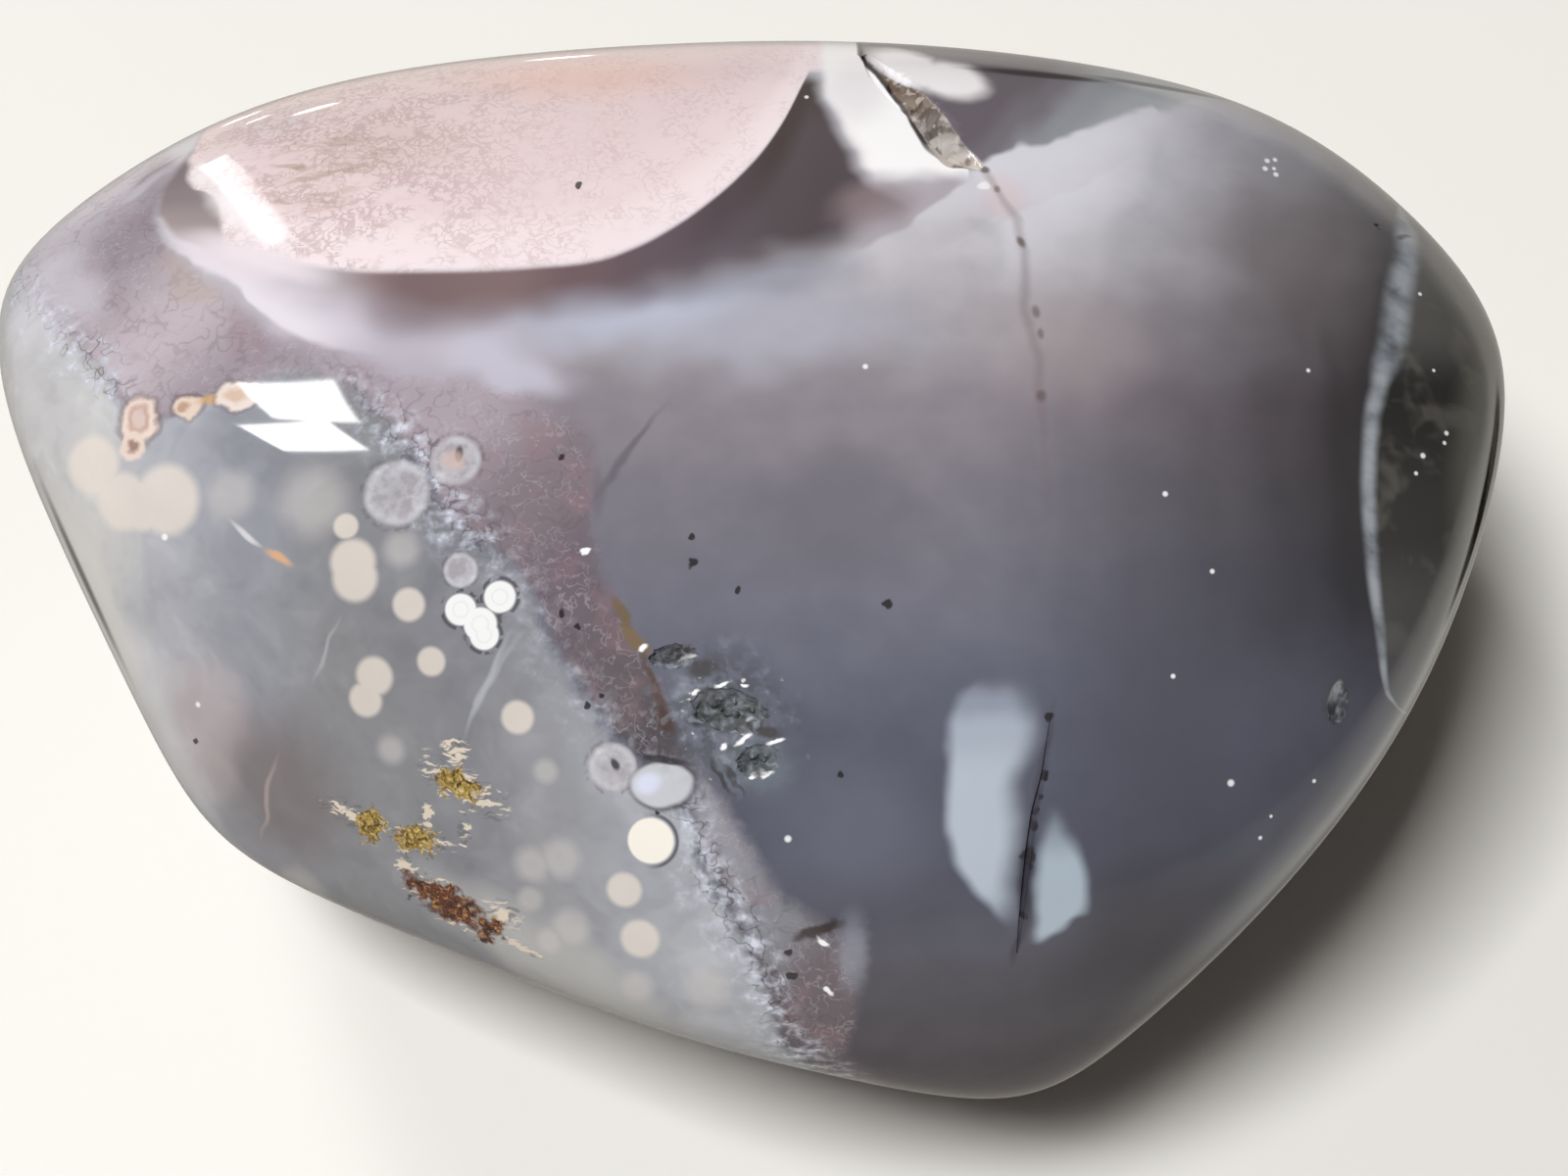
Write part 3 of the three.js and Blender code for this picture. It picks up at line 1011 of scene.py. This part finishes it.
colour = ovals(colour, gentle, [
    (1434, 243, (10, 2), 10, (84, 84, 90), 0.8, 0.5),
    # Painted shade and highlight at the chip: a dark oval over its hollow and a small white stroke on its
    # lip.
    (1365, 716, (15, 23), 0, (66, 66, 70), 0.5, 0.4),
    (1363, 708, (4, 10), -20, (196, 198, 200), 0.8, 0.6),
])

# Painted reflection: thin dark lines along the rim at the right, at the top and at the left stand
# for the dark shadow on the worktop and the dark room that the rim mirrors.
colour = ovals(colour, place, [
    (1512, 515, (66, 4), 75, (36, 34, 30), 0.95, 0.5),
    (1060, 76, (66, 4), -5, (24, 22, 22), 0.97, 0.5),
    (1180, 88, (70, 3), -8, (44, 42, 42), 0.9, 0.5),
    (84, 587, (86, 4), -67, (36, 32, 30), 0.9, 0.7),
])

# The orbs in the clear part: cream and white balls up to 2 mm across. Some lie deep and blurred,
# and some are ringed.
rounded = step_by("MULTIPLY", place, (1, 1, BALL_FLATNESS))
faint_orbs = in_radii(rounded, [
    (399, 765, 14), (557, 787, 12), (541, 917, 13), (583, 945, 18), (560, 960, 12),
    (543, 882, 18), (572, 876, 20), (650, 1007, 16), (722, 1010, 22), (235, 505, 24),
    (320, 512, 34), (410, 560, 18), (310, 905, 25),
])
colour = over(colour, tone(206, 200, 198), fade(faint_orbs, 1.5, 0.5, 0.42))
colour = ovals(colour, gentle, [
    (210, 728, (45, 55), 0, (186, 168, 168), 0.45, 0.5),
    (215, 792, (30, 26), 0, (180, 168, 168), 0.35, 0.5),
])
cream_orbs = in_radii(rounded, [
    (95, 475, 30), (125, 512, 30), (145, 516, 26), (170, 510, 36), (353, 537, 13),
    (360, 574, 24), (362, 590, 24), (417, 617, 17), (382, 690, 20), (373, 714, 18),
    (440, 675, 15), (528, 732, 17), (637, 908, 18), (653, 958, 20),
])
colour = over(colour, tone(224, 214, 205), fade(cream_orbs, 1.2, 0.8, 0.74))
ringed_orbs = in_radii(rounded, [
    (405, 503, 33), (465, 470, 25), (470, 582, 17), (625, 783, 24),
])
colour = over(colour, tone(92, 86, 94), all_of(
    fade(off(ringed_orbs, 1.15), 0.18, 0.0, 0.4), fade(fine_grain, 0.45, 0.55),
))
orb_tone = tone_ramp(lace_blots, [
    (0.35, (166, 161, 167)), (0.55, (184, 182, 188)), (0.7, (198, 197, 203)),
])
colour = over(colour, orb_tone, fade(ringed_orbs, 1.15, 0.9, 0.85))
colour = over(colour, tone(222, 222, 228), fade(off(ringed_orbs, 0.88), 0.22, 0.0, 0.2))
colour = over(colour, tone(150, 144, 152), fade(ringed_orbs, 0.6, 0.1, 0.35))
white_orbs = in_radii(rounded, [(510, 609, 16), (470, 622, 16), (490, 637, 17), (494, 648, 15)])
colour = over(colour, tone(64, 60, 68), all_of(
    fade(off(white_orbs, 1.22), 0.22, 0.0, 0.8), fade(fine_grain, 0.46, 0.52),
))
colour = over(colour, tone(238, 238, 238), fade(white_orbs, 1.1, 0.92, 0.95))
colour = over(colour, tone(206, 208, 214), fade(off(white_orbs, 0.5), 0.12, 0.0, 0.35))
bright_orb = in_radii(rounded, [(664, 858, 24)])
# Painted shadow: a dark rim on the bright orb's right side only.
colour = over(colour, tone(66, 66, 74), all_of(
    fade(off(bright_orb, 1.14), 0.14, 0.0, 0.85), fade(right, right_of(655), right_of(680)),
))
colour = over(colour, tone(242, 236, 226), fade(bright_orb, 1.06, 0.92))
colour = ovals(colour, gentle, [
    (677, 801, (37, 26), -10, (66, 62, 70), 0.75, 0.12),
    (675, 800, (33, 22), -10, (198, 200, 206), 0.95, 0.12),
    (661, 798, (13, 10), 0, (214, 218, 238), 0.9, 0.5),
    (628, 778, (4, 6), 20, (52, 46, 52), 0.9, 0.4),
    (468, 464, (4, 8), 0, (34, 28, 28), 0.9, 0.4),
    (462, 470, (12, 10), 0, (214, 188, 178), 0.6, 0.5),
    (680, 775, (27, 4), -15, (52, 46, 54), 0.85, 0.4),
])

# Cream and orange rings where the band meets the clear part, and thin pale feathers and streaks
# that lie deep in the clear grey.
colour = ovals(colour, ragged, [
    (142, 430, (24, 29), 0, (84, 66, 66), 0.7, 0.2),
    (142, 430, (20, 25), 0, (232, 212, 202), 0.95, 0.2),
    (142, 428, (12, 15), 0, (176, 136, 122), 0.75, 0.35),
    (142, 428, (7, 10), 0, (214, 196, 190), 0.8, 0.4),
    (135, 456, (14, 14), 0, (224, 204, 194), 0.95, 0.2),
    (135, 455, (6, 6), 0, (132, 98, 84), 0.8, 0.5),
    (191, 414, (19, 15), 0, (76, 60, 60), 0.6, 0.2),
    (191, 415, (15, 12), 0, (226, 206, 192), 0.95, 0.25),
    (188, 415, (7, 5), 30, (168, 124, 92), 0.7, 0.5),
    (214, 408, (14, 5), 10, (206, 164, 112), 0.8, 0.5),
    (244, 404, (30, 17), 0, (80, 66, 66), 0.5, 0.2),
    (244, 404, (26, 14), 0, (234, 220, 212), 0.95, 0.2),
    (242, 403, (15, 7), 0, (204, 168, 144), 0.7, 0.5),
])
colour = ovals(colour, gentle, [
    (496, 700, (46, 3), 65, (182, 184, 190), 0.6, 0.7),
    (504, 690, (40, 2.5), 60, (170, 172, 178), 0.5, 0.7),
    (333, 664, (30, 2), 65, (178, 180, 186), 0.5, 0.7),
    (274, 815, (38, 2.5), 75, (196, 176, 166), 0.4, 0.7),
    (252, 546, (18, 3), -40, (226, 224, 226), 0.7, 0.6),
    (285, 570, (13, 3.5), -20, (222, 172, 124), 0.8, 0.6),
])

# Metal oxides: golden and rust-red grains, dark in places, with cream needles about them. The
# needles run mostly down to the right and thin out away from the grains.
along_needles = add("Mapping", {
    "Vector": ragged, "Rotation": (0, 0, math.radians(28)), "Scale": (1.9, 8.0, 1.2),
})
needles = cloud(along_needles, 1.0, 2.0, 0.6)
near_grains = None
for x, y, radii, turn in [
    (474, 803, (66, 26), -30), (464, 768, (22, 20), 0), (360, 832, (54, 15), -16),
    (424, 855, (50, 20), -10), (436, 832, (9, 26), -4), (472, 848, (8, 28), 0),
    (414, 884, (16, 22), 10), (456, 922, (76, 26), -32), (516, 934, (32, 16), -30),
    (532, 966, (30, 6), -28),
]:
    from_middle = add("Mapping", {
        "Vector": gentle,
        "Location": seen(x, y),
        "Rotation": (0, 0, math.radians(turn)),
        "Scale": (size_at(x, y, radii[0]), size_at(x, y, radii[1]), OVAL_DEPTH),
    }, vector_type="TEXTURE")
    near = add("TexGradient", {"Vector": from_middle}, 1, gradient_type="SPHERICAL")
    near_grains = near if near_grains is None else any_of(near_grains, near)
crystals = count("ADD", needles, count("MULTIPLY", near_grains, 0.34))
near_any = fade(near_grains, 0.0, 0.25)
colour = over(colour, tone(84, 82, 80), all_of(near_any, fade(needles, 0.42, 0.34, 0.5)))
colour = over(colour, tone(220, 206, 188), all_of(near_any, fade(crystals, 0.665, 0.745, 0.92)))
grain_edges = wandering(place, 3.0, 1.0, 2.0)
grain_specks = cloud(grain_edges, 5.5, 2.0, 0.6)
gold = tone_ramp(grain_specks, [
    (0.36, (58, 44, 20)), (0.45, (124, 98, 38)), (0.56, (160, 132, 58)), (0.68, (206, 184, 128)),
])
colour = over(colour, gold, any_of(
    in_oval(grain_edges, 466, 800, (25, 14), -20, 0.3),
    in_oval(grain_edges, 379, 841, (14, 18), 0, 0.3),
    in_oval(grain_edges, 424, 856, (24, 13), -10, 0.3),
))
rust = tone_ramp(grain_specks, [
    (0.38, (34, 18, 14)), (0.5, (88, 42, 26)), (0.6, (126, 78, 40)), (0.7, (180, 146, 92)),
])
colour = over(colour, rust, any_of(
    in_oval(grain_edges, 430, 905, (22, 12), -30, 0.3),
    in_oval(grain_edges, 460, 922, (36, 17), -30, 0.3),
    in_oval(grain_edges, 499, 949, (15, 12), 0, 0.3),
))

# The druse, a patch of tiny open quartz, lies between the band and the field. Grey clumps with
# dark gaps ring its vugs, and brown rust fills the crack above it. White spots on it are painted
# highlights, the glints of its small faces.
colour = ovals(colour, ragged, [
    (742, 745, (66, 42), -40, (126, 130, 142), 0.5, 0.6),
    (706, 704, (20, 14), -30, (140, 145, 156), 0.5, 0.6),
    (768, 780, (36, 22), -10, (112, 122, 130), 0.7, 0.5),
    (692, 667, (15, 6), 20, (62, 52, 46), 0.85, 0.5),
    (718, 680, (16, 10), 10, (70, 66, 66), 0.8, 0.5),
    (745, 722, (32, 20), -10, (72, 74, 74), 0.8, 0.6),
    (713, 733, (10, 7), 0, (40, 40, 40), 0.8, 0.6),
    (782, 746, (16, 6), -10, (66, 60, 58), 0.8, 0.5),
    (736, 792, (20, 2.5), -60, (62, 58, 64), 0.85, 0.5),
    (748, 796, (18, 2.5), -55, (62, 58, 64), 0.8, 0.5),
    (636, 628, (22, 5), -60, (112, 94, 66), 0.85, 0.5),
    (650, 654, (18, 7), -50, (122, 102, 74), 0.85, 0.5),
    (668, 700, (34, 4), -70, (88, 66, 58), 0.8, 0.6),
    (680, 736, (14, 8), -60, (74, 50, 44), 0.8, 0.5),
    (832, 950, (22, 6), 20, (54, 44, 44), 0.85, 0.4),
    (852, 944, (10, 5), 10, (58, 50, 50), 0.8, 0.5),
    (870, 972, (14, 36), 0, (172, 174, 188), 0.45, 0.7),
])
# Painted highlights: small white strokes for the glints of the druse's faces.
painted_glints = None
for x, y, radii, turn in [
    (655, 661, (5, 3), 20), (701, 672, (8, 2.5), 20), (708, 705, (4, 2.5), 30),
    (735, 699, (7, 2), 10), (761, 699, (4, 2), 0), (758, 753, (9, 3), 40), (739, 760, (5, 3), 50),
    (791, 758, (8, 3), 10), (782, 789, (7, 3), 10), (768, 791, (4, 2), 10), (762, 736, (4, 2), 20),
    (839, 961, (8, 3), -40), (845, 1012, (6, 3), -20), (596, 562, (4, 3), 0),
]:
    there = in_oval(ragged, x, y, radii, turn, 0.4)
    painted_glints = there if painted_glints is None else any_of(painted_glints, there)
in_druse = in_oval(drifting, 740, 732, (66, 60), 0, 0.6)
colour = over(colour, tone(70, 71, 72), all_of(in_druse, fade(lace_blots, 0.46, 0.62, 0.6)))
colour = over(colour, tone(158, 165, 176), all_of(in_druse, fade(lace_blots, 0.44, 0.32, 0.45)))
small_painted_glints = all_of(in_druse, fade(fine_grain, 0.71, 0.77, 0.7))
colour = over(colour, tone(250, 250, 252), any_of(painted_glints, small_painted_glints))

# The fill of the open crack is brown at the top, olive in the middle and pale quartz at its end.
# A black line along its steep left wall is painted shade. Deep places in the narrow crack, the
# chip and the vugs get a mottled grey that grows with their depth below the skin: painted shade.
below_skin_mm = add("Attribute", {}, 2, attribute_name="below_skin")
hollow = fade(below_skin_mm, 0.02, 0.12)
crack_tone = tone_ramp(gentle_up, [
    (up_of(172, 1000), (196, 184, 174)),
    (up_of(150, 965), (172, 164, 160)),
    (up_of(128, 945), (136, 128, 122)),
    (up_of(105, 930), (112, 96, 82)),
    (up_of(80, 905), (104, 84, 68)),
    (up_of(57, 880), (40, 34, 32)),
])
crack_tone = over(crack_tone, tone(66, 50, 42), fade(threads, 0.5, 0.38, 0.7))
crack_tone = over(crack_tone, tone(198, 190, 182), fade(fine_grain, 0.54, 0.68, 0.55))
in_crack = all_of(
    fade(past_left, -0.03, 0.04),
    fade(past_right, 0.1, -0.06),
    fade(up, up_of(176, 1000), up_of(170, 1000)),
    fade(out, -4.0, -2.0),
)
colour = over(colour, crack_tone, in_crack)
# Painted shade: a black line along the steep left wall of the open crack.
colour = over(colour, tone(30, 25, 24), all_of(
    fade(off(past_left, 0.03), 0.13, 0.04, 0.95),
    between(up, up_of(166, 962), up_of(140, 940), up_of(40, 880), up_of(30, 880)),
    fade(out, -4.0, -2.0),
))
# Painted shade: deep places in the hollows get a mottled grey that grows with depth below the skin.
painted_hollow_shade = all_of(fade(below_skin_mm, 0.03, 0.3, 0.7), fade(up, up_of(400), up_of(500)))
colour = over(colour, tone_ramp(fine_grain, [
    (0.35, (62, 62, 60)), (0.5, (98, 101, 103)), (0.65, (142, 148, 156)),
]), painted_hollow_shade)

# Specks: white and black grains as small as dust in the polish, strung in places along a crack.
# The five white specks close together near the top right are a painted highlight, a sparkle.
white_specks_and_sparkle = in_radii(rounded, [
    (883, 374, 4), (1189, 504, 4), (1237, 583, 3.5), (1197, 690, 3.5), (1256, 799, 5),
    (1341, 797, 3), (1297, 833, 2.5), (1286, 855, 3), (1335, 378, 3), (168, 548, 5),
    (202, 719, 4), (823, 99, 3), (1449, 300, 3), (1463, 378, 2.5), (1476, 442, 3.5),
    (1474, 452, 3), (1452, 465, 4), (1445, 483, 3), (804, 856, 5),
    # Painted highlight: these five close specks are a sparkle, not grains.
    (1293, 164, 4), (1301, 163, 3.5), (1291, 172, 4), (1300, 172, 3), (1302, 178, 4),
])
colour = over(colour, tone(240, 242, 244), fade(white_specks_and_sparkle, 1.0, 0.35, 0.9))
rough_rounded = step_by("MULTIPLY", ragged, (1, 1, BALL_FLATNESS))
black_specks = in_radii(rough_rounded, [
    (905, 617, 5), (705, 548, 4), (706, 575, 4.5), (573, 466, 4.5), (753, 602, 4), (590, 189, 4),
    (1304, 895, 3.5), (1240, 978, 4), (200, 757, 3.5), (804, 972, 4), (809, 997, 5),
    (1072, 730, 5),
    (1066, 790, 5), (1061, 812, 4), (1057, 827, 4), (1055, 842, 5), (1050, 872, 8),
    (1049, 884, 5), (1043, 935, 5), (1404, 230, 3), (600, 720, 3), (612, 708, 3), (671, 830, 3),
    (855, 790, 3), (574, 626, 4), (590, 640, 3),
])
colour = over(colour, tone(34, 30, 32), fade(black_specks, 1.2, 0.7, 0.9))
colour = ovals(colour, gentle, [
    (1061, 805, (4, 66), -10, (72, 68, 76), 0.65, 0.7),
    (1046, 902, (7, 48), -5, (50, 48, 56), 0.8, 0.7),
    (1039, 966, (4, 18), -10, (58, 54, 62), 0.6, 0.6),
])

# The polish. Tumbled chalcedony is glossy; only the hollows stay rough.
gloss = stretched(hollow, bottom=0.05, top=0.4)
surface = tree.nodes.new("ShaderNodeBsdfPrincipled")
plug(surface.inputs["Base Color"], colour)
plug(surface.inputs["Roughness"], gloss)
surface.inputs["IOR"].default_value = 1.54
plain_stone = tree.nodes.new("ShaderNodeBsdfDiffuse")
plain_stone.inputs["Color"].default_value = tone(140, 137, 143)
light_path = tree.nodes.new("ShaderNodeLightPath")
seen_stone = tree.nodes.new("ShaderNodeMixShader")
tree.links.new(light_path.outputs["Is Diffuse Ray"], seen_stone.inputs[0])
tree.links.new(surface.outputs[0], seen_stone.inputs[1])
tree.links.new(plain_stone.outputs[0], seen_stone.inputs[2])
output = tree.nodes.new("ShaderNodeOutputMaterial")
tree.links.new(seen_stone.outputs[0], output.inputs["Surface"])
pebble.data.materials.clear()
pebble.data.materials.append(chalcedony)

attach(pebble, "root")
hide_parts("agate_pebble")


# The worktop that the stone lies on: plain, pale and matt.
bpy.ops.object.select_all(action="DESELECT")
bpy.ops.mesh.primitive_plane_add(size=1.6)
worktop = bpy.context.object
worktop.name = "worktop"
pale = bpy.data.materials.new("pale_worktop")
pale.use_nodes = True
pale.node_tree.nodes["Principled BSDF"].inputs["Base Color"].default_value = tone(243, 241, 235)
pale.node_tree.nodes["Principled BSDF"].inputs["Roughness"].default_value = 0.5
worktop.data.materials.append(pale)
worktop.visible_glossy = False

# Daylight from a two-pane window behind the stone's left, a gap of light beside it, and the soft
# light of a pale room from the front left.
SOFT_AZIMUTH = -149  # degrees from straight behind, towards the right
SOFT_RISE = 64
SOFT_DISTANCE = 0.8
WINDOW_DISTANCE = 0.6
WINDOW_LIGHTS = [  # name, azimuth, rise, roll in degrees, size in m, energy in W
    ("upper_pane", -37.8, 49.9, -26, (0.084, 0.062), 0.29),
    ("lower_pane", -48.1, 53.8, -20, (0.118, 0.056), 0.38),
    ("window_gap", -24.9, 19.5, -4.5, (0.02, 0.33), 0.068),
]


def towards(azimuth, rise):
    azimuth, rise = math.radians(azimuth), math.radians(rise)
    return Vector((
        math.sin(azimuth) * math.cos(rise), math.cos(azimuth) * math.cos(rise), math.sin(rise)
    ))


def lamp(name, size, energy, direction, distance, roll=0.0):
    """A flat lamp that faces the stone, rolled about its line to it."""
    bulb = bpy.data.lights.new(name, "AREA")
    bulb.shape = "RECTANGLE"
    bulb.size, bulb.size_y = size
    bulb.energy = energy
    holder = bpy.data.objects.new(name, bulb)
    bpy.context.collection.objects.link(holder)
    facing = (-direction).to_track_quat("-Z", "Y") @ Euler((0, 0, math.radians(roll))).to_quaternion()
    holder.rotation_euler = facing.to_euler()
    holder.location = HEART * MM + direction * distance
    return holder


for name, azimuth, lamp_rise, roll, size, energy in WINDOW_LIGHTS:
    lamp(name, size, energy, towards(azimuth, lamp_rise), WINDOW_DISTANCE, roll)
soft_light = lamp(
    "soft_light", (0.2, 0.16), 6.2, towards(SOFT_AZIMUTH, SOFT_RISE), SOFT_DISTANCE
)
soft_light.visible_glossy = False

# The room, as the polish mirrors it. It is dim, with a bright wall behind the stone's left. Below
# the horizon it stands for the worktop, bright where that is well lit and dark in the shadow.
world = bpy.data.worlds.new("pale_room")
bpy.context.scene.world = world
world.use_nodes = True
tree = world.node_tree
heading = tree.nodes.new("ShaderNodeTexCoord").outputs["Generated"]
sky_rise = add("SeparateXYZ", {0: heading}, 2)
room = tone_ramp(sky_rise, [
    (-0.97, (136, 132, 126)),
    (-0.7, (176, 172, 164)),
    (-0.1, (206, 202, 194)),
    (0.02, (190, 187, 180)),
    (0.14, (134, 131, 124)),
    (0.3, (128, 125, 118)),
    (0.9, (132, 130, 126)),
])


def patch(below, above, azimuth, rise, edge, core, most):
    """A round patch of another tone in the room, from its faint edge to its core."""
    away = step_by("DISTANCE", heading, tuple(towards(azimuth, rise)), 1)
    return over(below, tone(*above), fade(away, edge, core, most))


room = patch(room, (40, 38, 36), 38, 24, 0.6, 0.25, 0.75)
room = patch(room, (236, 234, 230), -24, 24, 0.7, 0.1, 0.8)
room = patch(room, (286, 283, 272), 88, -30, 0.72, 0.32, 0.85)
room = patch(room, (112, 108, 102), 55, 1, 0.3, 0.1, 0.75)
room = patch(room, (132, 128, 122), -44, -18, 0.46, 0.2, 0.6)
room = patch(room, (12, 11, 10), 56, -33, 0.2, 0.12, 1.0)
room = patch(room, (248, 236, 226), -12, -14, 0.36, 0.15, 0.9)
room = patch(room, (120, 114, 112), 9, -1, 0.17, 0.07, 0.85)
for azimuth, rise, reach in [
    (-15.3, -6, 0.026), (-17.2, -14, 0.014), (-16.4, -24, 0.018), (-5.6, -20.5, 0.017),
]:
    room = patch(room, (560, 556, 546), azimuth, rise, reach, reach / 2, 1.0)
mirrored_room = tree.nodes["Background"]
plug(mirrored_room.inputs["Color"], room)
faint_light = tree.nodes.new("ShaderNodeBackground")
faint_light.inputs["Color"].default_value = (0.028, 0.022, 0.016, 1)
light_path = tree.nodes.new("ShaderNodeLightPath")
room_light = tree.nodes.new("ShaderNodeMixShader")
tree.links.new(light_path.outputs["Is Diffuse Ray"], room_light.inputs[0])
tree.links.new(mirrored_room.outputs[0], room_light.inputs[1])
tree.links.new(faint_light.outputs[0], room_light.inputs[2])
tree.links.new(room_light.outputs[0], tree.nodes["World Output"].inputs["Surface"])

bpy.context.scene.view_settings.view_transform = "Standard"
